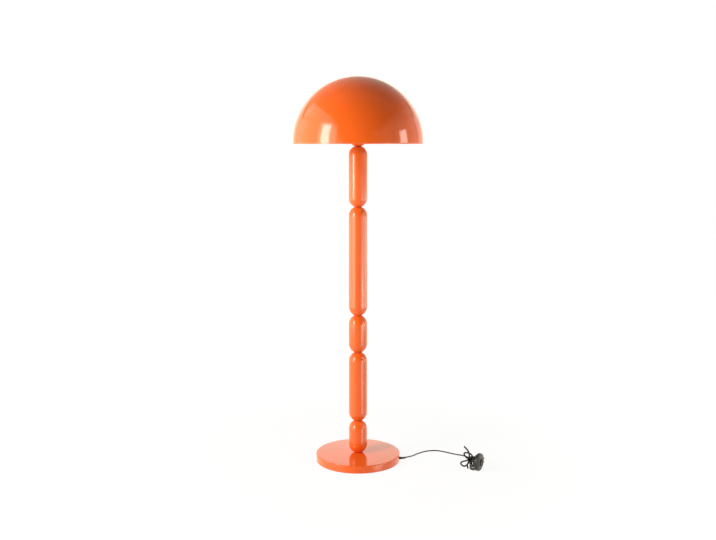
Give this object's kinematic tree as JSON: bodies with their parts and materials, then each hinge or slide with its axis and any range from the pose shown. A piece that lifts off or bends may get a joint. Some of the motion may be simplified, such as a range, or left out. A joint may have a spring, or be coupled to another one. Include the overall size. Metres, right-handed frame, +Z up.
{
  "type": "floor lamp",
  "caption": "Floor lamp with a hemispherical metal shade on a stem of stacked round-ended tubes, a disc base, and a black flex with a foot switch and a tied hank.",
  "frame": {"origin": "centre of the base's underside, on the floor", "axes": "+Z up along the stem; -Y is the front, towards the picture's camera; the flex leaves the base on the +X side"},
  "size_m": [0.7515, 0.5, 1.5],
  "materials": {
    "orange_enamel": "glossy stove enamel, warm orange",
    "joint_enamel": "dark red enamel",
    "zinc_steel": "zinc plated",
    "cast_iron": "rough, blackened",
    "foam_black": "soft foam",
    "black_nylon": "moulded, satin",
    "black_rubber": "soft moulded",
    "black_flex": "smooth round sheath",
    "tie_plastic": "coated wire",
    "white_ceramic": "glazed white",
    "contact_brass": "plain brass",
    "bulb_cap_metal": "plated",
    "white_plastic": "white",
    "opal_glass": "opal",
    "pin_metal": "nickel plated"
  },
  "bodies": {
    "lamp": {"base_cover": "orange_enamel", "base_weight": "cast_iron", "base_plate": "zinc_steel", "base_pad": "foam_black", "base_screws": "zinc_steel", "base_washer": "zinc_steel", "base_nut": "zinc_steel", "cord_clip": "black_nylon", "cord_grommet": "black_rubber", "inner_flex": "black_flex", "stem_capsule_1": "orange_enamel", "stem_capsule_2": "orange_enamel", "stem_capsule_3": "orange_enamel", "stem_capsule_4": "orange_enamel", "stem_capsule_5": "orange_enamel", "stem_capsule_6": "orange_enamel", "capsule_bushes": "zinc_steel", "joint_nipples": "zinc_steel", "joint_washers": "joint_enamel", "holder_cap": "black_nylon", "holder_body": "black_nylon", "holder_insert": "white_ceramic", "screw_shell": "contact_brass", "shade_ring": "black_nylon", "shade_dome": "orange_enamel", "shade_lugs": "orange_enamel", "shade_spider": "zinc_steel", "spider_screws": "zinc_steel", "spider_nuts": "zinc_steel", "switch_base": "black_nylon", "switch_cover": "black_nylon", "switch_block": "white_ceramic", "switch_screws": "zinc_steel", "switch_glands": "black_rubber", "plug_body": "black_rubber", "plug_pins": "pin_metal", "hank_tie": "tie_plastic", "cord_lead": "black_flex", "cord_hank_lamp": "black_flex", "cord_hank_plug": "black_flex"},
    "bulb": {"bulb_cap": "bulb_cap_metal", "bulb_body": "white_plastic", "bulb_globe": "opal_glass"},
    "button": {"switch_button": "black_nylon"}
  },
  "joints": [
    {"name": "bulb_turn", "type": "hinge", "parent": "lamp", "child": "bulb", "pos_m": [0, 0, 1.367], "axis": [0, 0, 1], "range_deg": [0, 300]},
    {"name": "button_press", "type": "slide", "parent": "lamp", "child": "button", "axis": [-0.8572, 0.515, 0], "range_m": [0, 0.0025], "stiffness_N_per_m": 1600, "springref_m": -0.0015}
  ]
}
